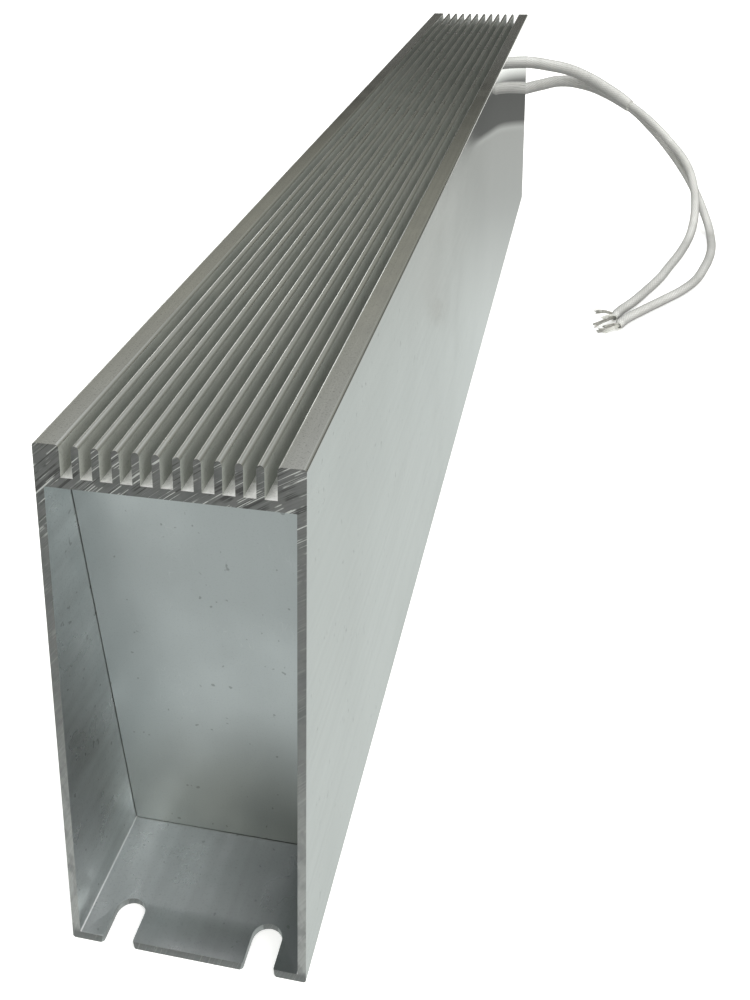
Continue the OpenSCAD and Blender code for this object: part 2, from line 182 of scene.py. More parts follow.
floor_mesh = bmesh.new()
bmesh.ops.create_grid(floor_mesh, x_segments=1, y_segments=1, size=4)
floor = bpy.data.objects.new("floor", bpy.data.meshes.new("floor"))
floor_mesh.to_mesh(floor.data)
bpy.context.scene.collection.objects.link(floor)
floor.visible_glossy = False
table_white, tree, surface = new_finish("table_white")
surface.inputs["Base Color"].default_value = (0.93, 0.93, 0.92, 1)
surface.inputs["Roughness"].default_value = 1
surface.inputs["Specular IOR Level"].default_value = 0
surface.inputs["Emission Color"].default_value = (1, 1, 1, 1)
surface.inputs["Emission Strength"].default_value = 0.45
floor.data.materials.append(table_white)
floor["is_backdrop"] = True

for name, place, aim, width, depth, power, mirrored in [
    ("overhead_box", (0.15, 0.45, 1.8), (0.15, 0.45, 0), 2.8, 2.6, 35, False),
    ("window", (1.1, -0.7, 0.75), (0, -0.2, 0.05), 0.8, 0.8, 7, True),
    ("far_strip", (-1.35, 1.45, 0.50), (0, 0, 0.1), 0.9, 0.6, 3.0, True),
]:
    lamp = bpy.data.objects.new(name, bpy.data.lights.new(name, "AREA"))
    lamp.data.shape = "RECTANGLE"
    lamp.data.size, lamp.data.size_y, lamp.data.energy = width, depth, power
    lamp.location = place
    lamp.rotation_euler = (Vector(aim) - Vector(place)).to_track_quat("-Z", "Y").to_euler()
    lamp.visible_glossy = mirrored
    bpy.context.scene.collection.objects.link(lamp)


# The two flying leads: stranded copper in a glass-fibre sleeve, braided from
# twelve yarns each way. They leave the rear plate, swing round to the right of
# the case and come forward along the table, where they end bare.

sleeve_d = 0.0044
sleeve_relief = 0.00014
sleeve_yarns = 12
yarn_advance = 0.0026
rings_per_point = 40
# The cut end is drawn in: to this share of the radius, over this many rings
sleeve_end = (0.62, 24)
rear_face_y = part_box("end_plate_rear")[1].y

# Across, back from the rear plate's outer face, and up, in metres
upper_lead_route = [
    (0, -0.005, 0.079), (0, 0.001, 0.079), (0, 0.007, 0.079), (0.003, 0.015, 0.079),
    (0.009, 0.022, 0.079), (0.017, 0.027, 0.0785), (0.026, 0.031, 0.0775),
    (0.036, 0.0345, 0.0755), (0.046, 0.0375, 0.073), (0.057, 0.0395, 0.0685),
    (0.069, 0.040, 0.062), (0.082, 0.037, 0.0545), (0.095, 0.030, 0.0465),
    (0.106, 0.021, 0.038), (0.115, 0.011, 0.0295), (0.1195, -0.001, 0.0205),
    (0.1205, -0.014, 0.012), (0.119, -0.027, 0.0055), (0.1155, -0.041, 0.0022),
    (0.1115, -0.056, 0.0022), (0.1065, -0.072, 0.0022), (0.1015, -0.088, 0.0022),
    (0.0955, -0.103, 0.0022), (0.089, -0.118, 0.0022), (0.082, -0.132, 0.0022),
    (0.0807, -0.1368, 0.0022),
]
lower_lead_route = [
    (0, -0.005, 0.059), (0, 0.001, 0.059), (0, 0.007, 0.059), (0.0025, 0.015, 0.059),
    (0.0075, 0.023, 0.0595), (0.0145, 0.0295, 0.0605), (0.023, 0.035, 0.062),
    (0.032, 0.0395, 0.0635), (0.042, 0.043, 0.065), (0.055, 0.045, 0.0635),
    (0.069, 0.046, 0.0585), (0.082, 0.044, 0.0515), (0.095, 0.035, 0.0425),
    (0.106, 0.025, 0.033), (0.115, 0.013, 0.024), (0.122, 0.002, 0.015),
    (0.126, -0.008, 0.0085), (0.1285, -0.018, 0.004), (0.129, -0.029, 0.0022),
    (0.1285, -0.042, 0.0022), (0.1265, -0.057, 0.0022), (0.123, -0.072, 0.0022),
    (0.1185, -0.087, 0.0022), (0.1115, -0.101, 0.0022), (0.1025, -0.114, 0.0022),
    (0.093, -0.127, 0.0022), (0.084, -0.141, 0.0022), (0.0828, -0.1449, 0.0022),
]


def tint(tree, share, first, second):
    """The first colour, with a share of the second."""
    made = node(tree, "Mix", data_type="RGBA")
    for socket, value in ((made.inputs[0], share), (made.inputs[6], first), (made.inputs[7], second)):
        if isinstance(value, bpy.types.NodeSocket):
            tree.links.new(value, socket)
        elif isinstance(value, tuple):
            socket.default_value = (*value, 1)
        else:
            socket.default_value = value
    return made.outputs[2]


def layers(tree, colour, tones):
    """A colour with tones laid over it in turn, each by its own share."""
    for share, tone in tones:
        colour = tint(tree, share, colour, tone)
    return colour


def own_place(tree):
    return node(tree, "TexCoord").outputs["Object"]


def flatness(tree):
    """How flat the surface is seen: 0 from straight in front, 1 along it."""
    return node(tree, "LayerWeight", {"Blend": 0.5}).outputs["Facing"]


def mottle(tree, fineness, detail=3.0, start=0.0):
    """Soft noise, equally fine all round or finer along some axes than others."""
    scale = fineness if isinstance(fineness, tuple) else (fineness,) * 3
    put = {"Vector": own_place(tree), "Location": (start, start, start), "Scale": scale}
    placed = node(tree, "Mapping", put).outputs["Vector"]
    return node(tree, "TexNoise", {"Vector": placed, "Scale": 1.0, "Detail": detail}).outputs["Fac"]


def raised(tree, surface, height, depth):
    bump = node(tree, "Bump", {"Height": height, "Distance": depth})
    tree.links.new(bump.outputs["Normal"], surface.inputs["Normal"])


lead_sleeve, tree, surface = new_finish("lead_sleeve")
crown = node(tree, "Attribute", attribute_name="crown").outputs["Fac"]
underside_shade = node(tree, "Attribute", attribute_name="underside_shade").outputs["Fac"]
fibres = mottle(tree, 5200, 4.0)
ageing = mottle(tree, 55, 3.0, start=4.0)
yarn_colour = tint(tree, spread(tree, ageing, 0.35, 0.68), (0.80, 0.80, 0.78), (0.62, 0.62, 0.60))
# Painted shade between the yarns, underneath and towards the outline, and darker between the fibres
yarn_colour = layers(tree, yarn_colour, [
    (spread(tree, crown, 0.55, 0.0), (0.24, 0.24, 0.23)),
    (spread(tree, underside_shade, -0.75, 0.5, 0.0, 0.85), (0.16, 0.16, 0.155)),
    (spread(tree, flatness(tree), 0.30, 0.95, 0.0, 0.75), (0.17, 0.17, 0.165)),
    (spread(tree, fibres, 0.42, 0.70, 0.0, 0.3), (0.36, 0.36, 0.34)),
])
tree.links.new(yarn_colour, surface.inputs["Base Color"])
tree.links.new(spread(tree, crown, 0.0, 1.0, 0.85, 0.55), surface.inputs["Roughness"])
raised(tree, surface, fibres, 0.00006)


def smooth_line(name, route, thickness, sides, steps):
    """The mesh of a round line through the points of a route, in rings of vertices."""
    line = bpy.data.curves.new(name, "CURVE")
    line.dimensions = "3D"
    line.resolution_u = steps
    line.bevel_depth = thickness / 2
    line.bevel_resolution = (sides - 4) // 2
    spline = line.splines.new("BEZIER")
    spline.bezier_points.add(len(route) - 1)
    for point, (x, back, z) in zip(spline.bezier_points, route):
        point.co = (x, rear_face_y + back, z)
        point.handle_left_type = point.handle_right_type = "AUTO"
    holder = bpy.data.objects.new(name, line)
    mesh = bpy.data.meshes.new_from_object(holder)
    mesh.name = name
    bpy.data.objects.remove(holder)
    bpy.data.curves.remove(line)
    return mesh


def add_piece(name, mesh, finish):
    piece = bpy.data.objects.new(name, mesh)
    bpy.context.scene.collection.objects.link(piece)
    if not mesh.materials:
        mesh.materials.append(finish)
    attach(piece, "root")
    return piece


def braided_tube(name, route, thickness, relief, yarns, steps, drawn_in, first=0, last=None, bore_r=None):
    """A braided sleeve over a route, or from its first to its last point; with a bore it is open."""
    sides_per_yarn = 4
    sides = sides_per_yarn * yarns
    line = smooth_line(name, route, thickness, sides, steps)
    rings = [[v.co.copy() for v in line.vertices[i:i + sides]] for i in range(0, len(line.vertices), sides)]
    bpy.data.meshes.remove(line)
    rings = rings[first * steps:None if last is None else last * steps + 1]
    built = bmesh.new()
    crowns = built.verts.layers.float.new("crown")
    underside_shades = built.verts.layers.float.new("underside_shade")
    end_share, end_rings = drawn_in
    centres, outer, inner, run = [], [], [], 0.0
    for number, ring in enumerate(rings):
        left = min(1.0, (len(rings) - 1 - number) / end_rings)
        ring_r = thickness / 2 * (end_share + (1 - end_share) * math.sin(left * math.pi / 2))
        centre = sum(ring, Vector()) / sides
        # Nowhere does the sleeve sink into the table
        centre_up = centre + Vector((0, 0, max(0.0, thickness / 2 - centre.z)))
        if centres:
            run += (centre_up - centres[-1]).length
        outer.append([])
        inner.append([])
        for k, place in enumerate(ring):
            turn, out = k / sides_per_yarn, (place - centre).normalized()
            one_way, other_way = turn + run / yarn_advance, turn - run / yarn_advance
            swell, along = abs(math.sin(math.pi * one_way)), abs(math.sin(math.pi * other_way))
            if (math.floor(one_way) + math.floor(other_way)) % 2:
                swell, along = along, swell
            crown = swell ** 0.8 * along ** 0.35
            outer[-1].append(built.verts.new(centre_up + out * (ring_r - relief * (1 - crown))))
            outer[-1][-1][crowns] = crown
            # For the painted shade underneath: how far this point of the sleeve faces down
            outer[-1][-1][underside_shades] = -out.z
            if bore_r:
                inner[-1].append(built.verts.new(centre_up + out * bore_r))
        centres.append(centre_up)
    for wall in [outer, inner] if bore_r else [outer]:
        for near, far in zip(wall, wall[1:]):
            for k in range(sides):
                built.faces.new((near[k], near[k - 1], far[k - 1], far[k]))
    for end in (0, -1):
        if bore_r:
            for k in range(sides):
                built.faces.new((outer[end][k], outer[end][k - 1], inner[end][k - 1], inner[end][k]))
        else:
            built.faces.new(outer[end])
    bmesh.ops.recalc_face_normals(built, faces=built.faces)
    mesh = bpy.data.meshes.new(name)
    built.to_mesh(mesh)
    mesh.shade_smooth()
    return add_piece(name, mesh, lead_sleeve), centres


# The stripped ends: tinned copper strands that have sprung apart, with the cut
# glass-fibre yarns of the sleeve standing out round them.

strand_d = 0.00042
thread_d = 0.00016
# A bundle: its lines, its radius at the root and at the tips, and how far they wander
strand_bundle = (9, 0.00046, 0.00095, 0.00012)
yarn_tuft = (22, 0.0006, 0.0008, 0.00008)
# A cut end: the radius its yarns stand on, their number and the longest of them
sleeve_cut = (0.0012, 34, 0.0024)

bare_strands, tree, surface = new_finish("bare_strands")
dull = mottle(tree, 700)
strand_colour = tint(tree, spread(tree, dull, 0.4, 0.65), (0.62, 0.61, 0.58), (0.42, 0.41, 0.38))
tree.links.new(strand_colour, surface.inputs["Base Color"])
tree.links.new(spread(tree, dull, 0.4, 0.65, 0.28, 0.5), surface.inputs["Roughness"])
surface.inputs["Metallic"].default_value = 0.75
raised(tree, surface, mottle(tree, 4000), 0.00002)

glass_thread, tree, surface = new_finish("glass_thread")
fuzz = mottle(tree, 2500)
thread_colour = tint(tree, spread(tree, fuzz, 0.35, 0.65), (0.84, 0.84, 0.80), (0.62, 0.62, 0.58))
tree.links.new(thread_colour, surface.inputs["Base Color"])
surface.inputs["Roughness"].default_value = 0.6
raised(tree, surface, fuzz, 0.00002)


def fan_of_lines(name, finish, thickness, paths):
    fan = bpy.data.curves.new(name, "CURVE")
    fan.dimensions = "3D"
    fan.resolution_u = 4
    fan.bevel_depth = thickness / 2
    fan.bevel_resolution = 2
    fan.use_fill_caps = True
    for path in paths:
        spline = fan.splines.new("NURBS")
        spline.points.add(len(path) - 1)
        for point, place in zip(spline.points, path):
            point.co = (place.x, place.y, max(place.z, thickness / 2), 1)
        spline.order_u = 3
        spline.use_endpoint_u = True
    holder = bpy.data.objects.new(name, fan)
    mesh = bpy.data.meshes.new_from_object(holder)
    mesh.name = name
    bpy.data.objects.remove(holder)
    mesh.shade_smooth()
    return add_piece(name, mesh, finish)


def smooth_way(points, share):
    """A place on a smooth way through three points, at a share of its length."""
    first, middle, last = (Vector(p) for p in points)
    pull = 2 * middle - (first + last) / 2
    return first * (1 - share) ** 2 + pull * 2 * share * (1 - share) + last * share ** 2


def tuft(points, count, root, tip, wander, chance):
    """Paths of a bundle of lines that spring apart from a root radius to a tip radius."""
    paths, path_steps, whole_twist = [], 5, 1.8
    for i in range(count):
        turn = 2 * math.pi * i / max(1, count - 1)
        off = 0.0 if i == count - 1 else 1.0
        reach = chance.uniform(0.86, 1.0)
        path = []
        for k in range(path_steps + 1):
            share = reach * k / path_steps
            here = smooth_way(points, share)
            ahead = (smooth_way(points, share + 0.02) - here).normalized()
            side = ahead.cross(Vector((0, 0, 1))).normalized()
            rise = side.cross(ahead)
            loose = off * (root + (tip - root) * share * share)
            twist = turn + whole_twist * share
            path.append(
                here + side * (loose * math.cos(twist) + chance.uniform(-wander, wander) * share)
                + rise * (loose * math.sin(twist) + chance.uniform(-wander, wander) * share)
            )
        paths.append(path)
    return paths


def cut_yarns(tip, ahead, ring_r, count, longest, chance):
    """Paths of the short yarns that stand out round the cut end of a sleeve."""
    side = ahead.cross(Vector((0, 0, 1))).normalized()
    rise = side.cross(ahead)
    paths, held = [], 0.0008
    for i in range(count):
        turn = 2 * math.pi * i / count + chance.uniform(-0.1, 0.1)
        out = side * math.cos(turn) + rise * math.sin(turn)
        reach, flare = chance.uniform(0.25, 1.0) * longest, chance.uniform(0.1, 0.6)
        paths.append([
            tip + out * ring_r - ahead * held,
            tip + out * ring_r + ahead * reach * 0.35,
            tip + out * (ring_r + flare * reach * 0.35) + ahead * reach * 0.7,
            tip + out * (ring_r + flare * reach * 0.6) + ahead * reach,
        ])
    return paths


# Where the bundles of strands lie, from the sleeve's end to their tips, and
# the tufts of white yarn among them
upper_bundles = [
    ((0.0812, 0.0785, 0.0023), (0.0765, 0.0790, 0.0037), (0.0710, 0.0776, 0.0036)),
    ((0.0812, 0.0780, 0.0021), (0.0762, 0.0722, 0.0022), (0.0716, 0.0684, 0.0012)),
]
lower_bundles = [
    ((0.0833, 0.0702, 0.0022), (0.0796, 0.0684, 0.0023), (0.0757, 0.0668, 0.0010)),
    ((0.0833, 0.0702, 0.0020), (0.0784, 0.0658, 0.0014), (0.0730, 0.0648, 0.0008)),
]
upper_tufts = [((0.0812, 0.0780, 0.0024), (0.0775, 0.0757, 0.0031), (0.0752, 0.0742, 0.0022))]
lower_tufts = [((0.0833, 0.0700, 0.0020), (0.0798, 0.0660, 0.0018), (0.0764, 0.0624, 0.0012))]


# The outer sleeves: a wider braid of sixteen yarns each way, slipped over the
# root of each lead from the bushing to where the leads come together, cut off
# there, drawn in a little and slightly frayed.

outer_d = 0.0063
outer_relief = 0.00016
outer_bore_r = 0.00252
outer_yarns = 16
outer_rings_per_point = 24
outer_end = (0.86, 14)
outer_cut = (0.0025, 44, 0.0011)
# The points of a lead's route between which its outer sleeve runs
outer_from, outer_to = 2, 11

for name, route, exit_z, length, bundles, tufts in [
    ("upper", upper_lead_route, 0.079, 0.324, upper_bundles, upper_tufts),
    ("lower", lower_lead_route, 0.059, 0.346, lower_bundles, lower_tufts),
]:
    chance = random.Random(len(route))
    sleeve, centres = braided_tube(
        "lead_sleeve_" + name, route, sleeve_d, sleeve_relief, sleeve_yarns, rings_per_point, sleeve_end,
    )
    wide, wide_centres = braided_tube(
        "outer_sleeve_" + name, route, outer_d, outer_relief, outer_yarns, outer_rings_per_point, outer_end,
        first=outer_from, last=outer_to, bore_r=outer_bore_r,
    )
    strands = fan_of_lines(
        "strands_" + name, bare_strands, strand_d,
        [path for way in bundles for path in tuft(way, *strand_bundle, chance)],
    )
    white_yarns = [path for way in tufts for path in tuft(way, *yarn_tuft, chance)]
    ahead = (centres[-1] - centres[-12]).normalized()
    threads = fan_of_lines(
        "threads_" + name, glass_thread, thread_d,
        white_yarns + cut_yarns(centres[-1], ahead, *sleeve_cut, chance),
    )
    ahead = (wide_centres[-1] - wide_centres[-6]).normalized()
    fringe = fan_of_lines(
        "fringe_" + name, glass_thread, thread_d,
        cut_yarns(wide_centres[-1], ahead, *outer_cut, chance),
    )
    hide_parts("lead_" + name)
    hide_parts("root_sleeve_" + name)
    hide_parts("bare_end_" + name)


# The case: one aluminium extrusion, sawn off on a slant at both ends. Its edges
# are eased by deburring, the slots in its base are milled, and the saw leaves
# arcs across the cut faces.

deburr = 0.00014
inner_corner = 0.00022
case_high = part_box("housing")[1]
plate_low, plate_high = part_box("end_plate_front")
groove_floor_z = 0.101
# How far the ends lean back for each metre of height
case_slant = 0.2103
floor_end_y = case_high.y - case_slant * groove_floor_z
shoulder_x = 0.0195
# Where the painted shade on the base begins, towards the open bays at both ends
end_shade_y = 0.222


def darker(colour, share):
    return tuple(share * c for c in colour)


def painted_base_shade(tree, colour, side_shade):
    """Painted shade: the base of the cavity is darker towards one side, the wall there less so, and the
    base darker near both open ends.
    """
    x, y, z = node(tree, "SeparateXYZ", {"Vector": own_place(tree)}).outputs
    side = times(tree, spread(tree, x, *side_shade), spread(tree, z, 0.03, 0.004, 0.3, 1.0))
    shade_near_ends = spread(tree, reckon(tree, "ABSOLUTE", y), end_shade_y, case_high.y, 0.0, 0.42)
    shade_near_ends = times(tree, shade_near_ends, spread(tree, z, 0.006, 0.003))
    shade_share = reckon(tree, "MAXIMUM", side, plus(tree, shade_near_ends, times(tree, side, 0.6)))
    return tint(tree, shade_share, colour, (0.10, 0.11, 0.11))


def worked_aluminium(
    name, dark, light, lines, cloud=22.0, rough=(0.34, 0.46), line_share=0.35, line_depth=0.000004,
    speckle=0.25, specks=0.0, speck_from=0.705, scratch=0.0, scratch_stretch=(90, 900, 900),
    metallic=1.0, dragged=None, glancing=None, painted_flat_shade=None, side_shade=None, start=0.0,
):
    """Aluminium with clouds, drawing lines, grain, dark specks and bright scratches.

    Glancing turns the flatness of the view into a share of the roughness, and the flat shade into a
    share of painted shade. The side shade paints shade on the base of a cavity from side to side and
    near its open ends, and dragged gives where and how deep the saw drags the end of a floor down."""
    finish, tree, surface = new_finish(name)
    clouds = mottle(tree, cloud, 4.0, start)
    drawn = mottle(tree, lines, 4.0, start + 1.0)
    grain = mottle(tree, 2600, 2.0, start)
    colour = layers(tree, tint(tree, spread(tree, clouds, 0.36, 0.64), dark, light), [
        (spread(tree, drawn, 0.35, 0.65, 0.0, line_share), darker(light, 0.72)),
        (spread(tree, grain, 0.55, 0.75, 0.0, speckle), darker(dark, 0.55)),
    ])
    height = plus(tree, times(tree, drawn, line_share), times(tree, grain, 0.3))
    if specks:
        pits = mottle(tree, 620, 1.0, start + 3.0)
        pits = spread(tree, pits, speck_from, speck_from + 0.035, 0.0, specks)
        colour = tint(tree, pits, colour, darker(dark, 0.3))
        height = reckon(tree, "SUBTRACT", height, pits)
    if scratch:
        off_line = reckon(tree, "SUBTRACT", mottle(tree, scratch_stretch, 1.0, start + 2.0), 0.5)
        thin = spread(tree, reckon(tree, "ABSOLUTE", off_line), 0.0, 0.008, 1.0, 0.0)
        rare = spread(tree, mottle(tree, 70, 2.0, start + 5.0), 0.54, 0.64)
        mark = times(tree, times(tree, thin, rare), scratch)
        colour = tint(tree, mark, colour, (0.85, 0.86, 0.86))
        height = reckon(tree, "SUBTRACT", height, mark)
    # Painted shade on the base of the cavity and on the wall beside it
    if side_shade:
        colour = painted_base_shade(tree, colour, side_shade)
    # Painted shade: the flatter the surface is seen, the darker it is painted
    if painted_flat_shade:
        colour = tint(tree, spread(tree, flatness(tree), *painted_flat_shade), colour, darker(dark, 0.3))
    tree.links.new(colour, surface.inputs["Base Color"])
    roughness = spread(tree, clouds, 0.36, 0.64, rough[1], rough[0])
    if glancing:
        roughness = times(tree, roughness, spread(tree, flatness(tree), *glancing))
    tree.links.new(roughness, surface.inputs["Roughness"])
    surface.inputs["Metallic"].default_value = metallic
    bump = node(tree, "Bump", {"Height": height, "Distance": line_depth})
    if dragged:
        drag_from, drag_to, drag_depth = dragged
        _, y, _ = node(tree, "SeparateXYZ", {"Vector": own_place(tree)}).outputs
        drop = spread(tree, reckon(tree, "ABSOLUTE", y), drag_from, drag_to, 1.0, 0.0)
        fine = bump.outputs["Normal"]
        bump = node(tree, "Bump", {"Height": drop, "Distance": drag_depth, "Normal": fine})
    tree.links.new(bump.outputs["Normal"], surface.inputs["Normal"])
    return finish


case_outside = worked_aluminium(
    "case_outside", (0.775, 0.785, 0.775), (0.81, 0.82, 0.81), (700, 3, 700), rough=(0.17, 0.24),
    line_share=0.12, speckle=0.12, specks=0.25, speck_from=0.73, scratch=0.2,
    glancing=(0.845, 0.895, 1.0, 0.12),
)
case_top = worked_aluminium(
    "case_top", (0.74, 0.74, 0.71), (0.84, 0.84, 0.81), (1500, 4, 1500), cloud=90.0, speckle=0.6,
    rough=(0.19, 0.27), line_share=0.25, line_depth=0.00001, start=3.0,
)
case_inside = worked_aluminium(
    "case_inside", (0.66, 0.70, 0.705), (0.78, 0.81, 0.815), (420, 12, 420), cloud=90.0, speckle=0.3,
    rough=(0.26, 0.4), line_share=0.4, line_depth=0.00001, specks=0.4, speck_from=0.73,
    # Painted shade on the base: darker towards the right wall and near the open ends
    scratch=0.5, metallic=0.94, side_shade=(-0.018, 0.022, 0.0, 0.88), start=6.0,
)
milled_slots = worked_aluminium(
    "milled_slots", (0.36, 0.37, 0.37), (0.50, 0.51, 0.51), (300, 300, 2500), cloud=300.0, start=8.0,
)
# The grooves' floors: the top's aluminium painted brighter, a painted highlight for their glint at the sawn
# ends, with painted shade the flatter they are seen; the saw's burr drags their ends down
groove_floors = worked_aluminium(
    "groove_floors", (0.88, 0.88, 0.86), (0.97, 0.97, 0.95), (1800, 300, 1800), cloud=400.0,
    speckle=0.6, rough=(0.35, 0.5), line_depth=0.00003, metallic=0.9,
    painted_flat_shade=(0.62, 0.80, 0.0, 0.5), dragged=(floor_end_y - 0.0045, floor_end_y, 0.0022), start=4.0,
)
# The grooves' walls: the top's aluminium painted darker and duller, as painted shade deep in the grooves,
# with more painted shade the flatter they are seen
groove_walls = worked_aluminium(
    "groove_walls", (0.41, 0.43, 0.40), (0.49, 0.505, 0.47), (1500, 4, 1500), cloud=90.0, speckle=0.5,
    rough=(0.42, 0.55), line_share=0.3, line_depth=0.00001, metallic=0.45,
    painted_flat_shade=(0.78, 0.90, 0.0, 0.6), start=5.0,
)
fin_crests = worked_aluminium(
    "fin_crests", (0.74, 0.75, 0.72), (0.82, 0.83, 0.80), (700, 3, 700), cloud=60.0, speckle=0.06,
    rough=(0.26, 0.33), line_share=0.1, line_depth=0.000003, start=3.5,
)
worn_edges = worked_aluminium(
    "worn_edges", (0.70, 0.70, 0.68), (0.84, 0.84, 0.82), (900, 60, 900), cloud=260.0,
    rough=(0.35, 0.5), start=9.0,
)
inner_corners = worked_aluminium(
    "inner_corners", (0.66, 0.68, 0.69), (0.80, 0.81, 0.82), (900, 30, 900), cloud=260.0,
    rough=(0.3, 0.4), line_share=0.1, speckle=0.1, metallic=0.2, start=10.0,
)

# The saw's centre, below and to the right of the case; its teeth cut round it
saw_centre = (0.098, 0, -0.036)
case_sawn, tree, surface = new_finish("case_sawn")
offset = node(tree, "VectorMath", {0: own_place(tree), 1: saw_centre}, operation="SUBTRACT")
across, _, upright = node(tree, "SeparateXYZ", {"Vector": offset.outputs["Vector"]}).outputs
radius = reckon(tree, "SQRT", plus(tree, times(tree, across, across), times(tree, upright, upright)))
bearing = reckon(tree, "ARCTAN2", upright, across)


def saw_arcs(fineness, length, detail):
    """Noise in arcs round the saw's centre."""
    ring = {"X": times(tree, radius, fineness), "Y": times(tree, bearing, length), "Z": 0.0}
    spot = node(tree, "CombineXYZ", ring).outputs["Vector"]
    return node(tree, "TexNoise", {"Vector": spot, "Scale": 1.0, "Detail": detail}).outputs["Fac"]


def cut_lines(fineness, length, peak, low, high, start):
    """The sharpest arcs alone, in patches."""
    line = spread(tree, saw_arcs(fineness, length, 1.0), peak, peak + 0.05)
    patch = spread(tree, mottle(tree, 230, 2.0, start), low, high)
    return times(tree, line, patch)


fine_arcs = saw_arcs(4600, 7, 3.0)
smear = mottle(tree, 210, 4.0, 2.0)
chatter = mottle(tree, (520, 520, 260), 2.0, 3.0)
# The thick top has the clearest cut, the thin walls hardly any
in_roof = spread(tree, upright, 0.122, 0.132, 0.15, 1.0)
wide_cut, narrow_cut = cut_lines(2300, 4, 0.62, 0.45, 0.51, 5.0), cut_lines(4000, 6, 0.61, 0.46, 0.53, 9.0)
bright_cut = times(tree, reckon(tree, "MAXIMUM", wide_cut, narrow_cut), in_roof)
dark_cut = times(tree, cut_lines(2700, 5, 0.58, 0.42, 0.52, 7.0), in_roof)
faint_arcs = times(tree, spread(tree, fine_arcs, 0.40, 0.70, 0.0, 0.4), in_roof)
colour = tint(tree, spread(tree, smear, 0.35, 0.65), (0.24, 0.25, 0.25), (0.32, 0.325, 0.32))
# Lighter low on the walls, dark on the base's edge, then the traces of the saw
colour = layers(tree, colour, [
    (spread(tree, upright, 0.095, 0.055, 0.0, 0.6), (0.72, 0.73, 0.72)),
    (spread(tree, upright, 0.0385, 0.0375, 0.0, 0.8), (0.20, 0.21, 0.21)),
    (spread(tree, smear, 0.52, 0.66, 0.0, 0.5), (0.25, 0.25, 0.26)),
    (spread(tree, chatter, 0.50, 0.62, 0.0, 0.4), (0.27, 0.27, 0.28)),
    (faint_arcs, (0.20, 0.20, 0.20)),
    (times(tree, dark_cut, 0.8), (0.11, 0.11, 0.11)),
    (bright_cut, (0.82, 0.83, 0.82)),
])
tree.links.new(colour, surface.inputs["Base Color"])
tree.links.new(spread(tree, fine_arcs, 0.3, 0.7, 0.42, 0.6), surface.inputs["Roughness"])
surface.inputs["Metallic"].default_value = 0.85
raised(tree, surface, plus(tree, times(tree, fine_arcs, 0.5), bright_cut), 0.000018)


def eased_copy(node_name, name, ease, zone_of, finishes, edge_finish, corner_finish=None, is_filled=None):
    """A copy of a solid with its sharp edges eased and its faces sorted into finishes."""
    flat, faceted, sharp_from = math.radians(0.4), math.radians(1), math.radians(30)
    shape = bmesh.new()
    shape.from_mesh(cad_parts[node_name].data)
    bmesh.ops.remove_doubles(shape, verts=shape.verts, dist=1e-6)
    bmesh.ops.dissolve_limit(
        shape, angle_limit=flat, verts=shape.verts, edges=shape.edges,
        use_dissolve_boundaries=False, delimit=set(),
    )
    for face in shape.faces:
        face.material_index = zone_of(face)
        face.smooth = False
    filled = [e for e in shape.edges if is_filled and is_filled(e)]
    if filled:
        made = bmesh.ops.bevel(
            shape, geom=filled, offset=inner_corner, offset_type="OFFSET", affect="EDGES", segments=4,
            profile=0.5, material=-1, clamp_overlap=True, loop_slide=True,
        )
        for face in made["faces"]:
            face.smooth = True
            face.material_index = len(finishes) + 1
    between = [e for e in shape.edges if len(e.link_faces) == 2]
    sharp = [e for e in between if e.calc_face_angle() > sharp_from]
    soft = {f for e in between if faceted < e.calc_face_angle() < sharp_from for f in e.link_faces}
    for face in soft:
        face.smooth = True
    made = bmesh.ops.bevel(
        shape, geom=sharp, offset=ease, offset_type="OFFSET", affect="EDGES", segments=2,
        profile=0.5, material=-1, clamp_overlap=True, loop_slide=True,
    )
    for face in made["faces"]:
        face.smooth = True
        face.material_index = len(finishes)
    bmesh.ops.triangulate(shape, faces=[f for f in shape.faces if len(f.verts) > 4])
    mesh = bpy.data.meshes.new(name)
    shape.to_mesh(mesh)
    for finish in [*finishes, edge_finish] + ([corner_finish] if corner_finish else []):
        mesh.materials.append(finish)
    return mesh


case_finishes = [
    case_outside, case_top, case_sawn, case_inside, milled_slots, groove_floors, groove_walls, fin_crests,
]
outside, top, sawn, inside, slot, groove_floor, groove_wall, crest = range(len(case_finishes))


def case_zone(face):
    """The finish that a face of the case has, by its place and the way it faces."""
    middle, normal = face.calc_center_median(), face.normal
    height, from_side = middle.z, case_high.x - abs(middle.x)
    sideways, level = abs(normal.x), abs(normal.z)
    in_base = height < plate_low.z
    if abs(normal.y) > 0.9:
        return sawn
    if normal.z > 0.9 and abs(height - groove_floor_z) < 0.0003:
        return groove_floor
    in_cavity = from_side > 0.0005 and 0.0005 < height < plate_high.z + 0.0005
    if in_cavity and (level > 0.99 or sideways > 0.99 and not in_base):
        return inside
    if in_base and height > 0.0003 and level < 0.1 and from_side > 0.001:
        return slot
    if height > plate_high.z + 0.0005 and from_side > 0.0001:
        if sideways > 0.97:
            return groove_wall
        return crest if level < 0.999 or abs(middle.x) < shoulder_x else top
    return outside


def base_corner(edge):
    """Whether an edge is a long corner between the base and a wall, inside the case."""
    near = 0.0006
    first, last = edge.verts[0].co, edge.verts[1].co
    if abs(first.y - last.y) < 0.05 or len(edge.link_faces) != 2 or edge.calc_face_angle() < 1.0:
        return False
    return abs(first.z - plate_low.z) < near and abs(abs(first.x) - plate_high.x) < near


case = add_piece(
    "case",
    eased_copy(
        "housing", "case", deburr, case_zone, case_finishes, worn_edges, inner_corners, base_corner,
    ),
    case_outside,
)
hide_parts("housing")


# The end plates: sheared from 2 mm aluminium sheet and held by the sealing
# compound behind them. The rear one is drilled for the two leads.

